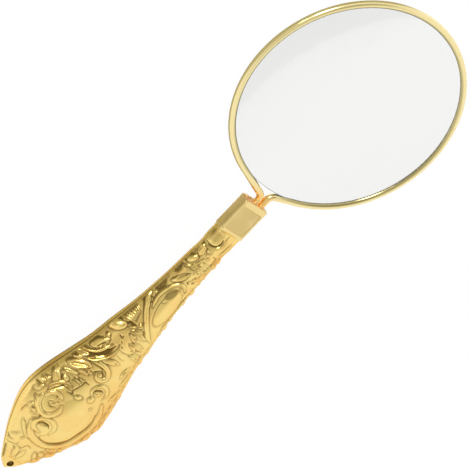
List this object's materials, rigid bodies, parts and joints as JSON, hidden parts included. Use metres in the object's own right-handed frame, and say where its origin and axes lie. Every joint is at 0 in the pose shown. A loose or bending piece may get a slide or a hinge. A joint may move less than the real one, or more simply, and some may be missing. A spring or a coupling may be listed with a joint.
{
  "type": "hand reading glass",
  "caption": "Round biconvex reading lens in a sprung wire rim, soldered through a short flat collar into a hollow gilt handle with rococo scroll relief and a hanging hole in its tip.",
  "frame": {"origin": "middle of the whole glass's box, at its lowest level, where the belly of the handle's back rests", "axes": "+X along the handle from its tip to the lens, +Y across the lens, +Z out of the front of the handle along the lens's optical axis"},
  "size_m": [0.2068, 0.0798, 0.0176],
  "materials": {
    "glass": "clear polished optical crown glass, ground edge",
    "gilt_wire": "polished gold plate on brass wire",
    "gilt_collar": "gold plate on brass, lightly brushed panels",
    "gilt_relief": "polished gold plate on stamped brass, darker in the recesses",
    "solder": "gilt solder with an orange cast",
    "filling": "dark pitch and plaster"
  },
  "bodies": {
    "root": {"lens": "glass", "rim_wire": "gilt_wire", "collar": "gilt_collar", "tail_solder": "solder", "front_shell": "gilt_relief", "back_shell": "gilt_relief", "handle_filling": "filling"}
  },
  "joints": []
}
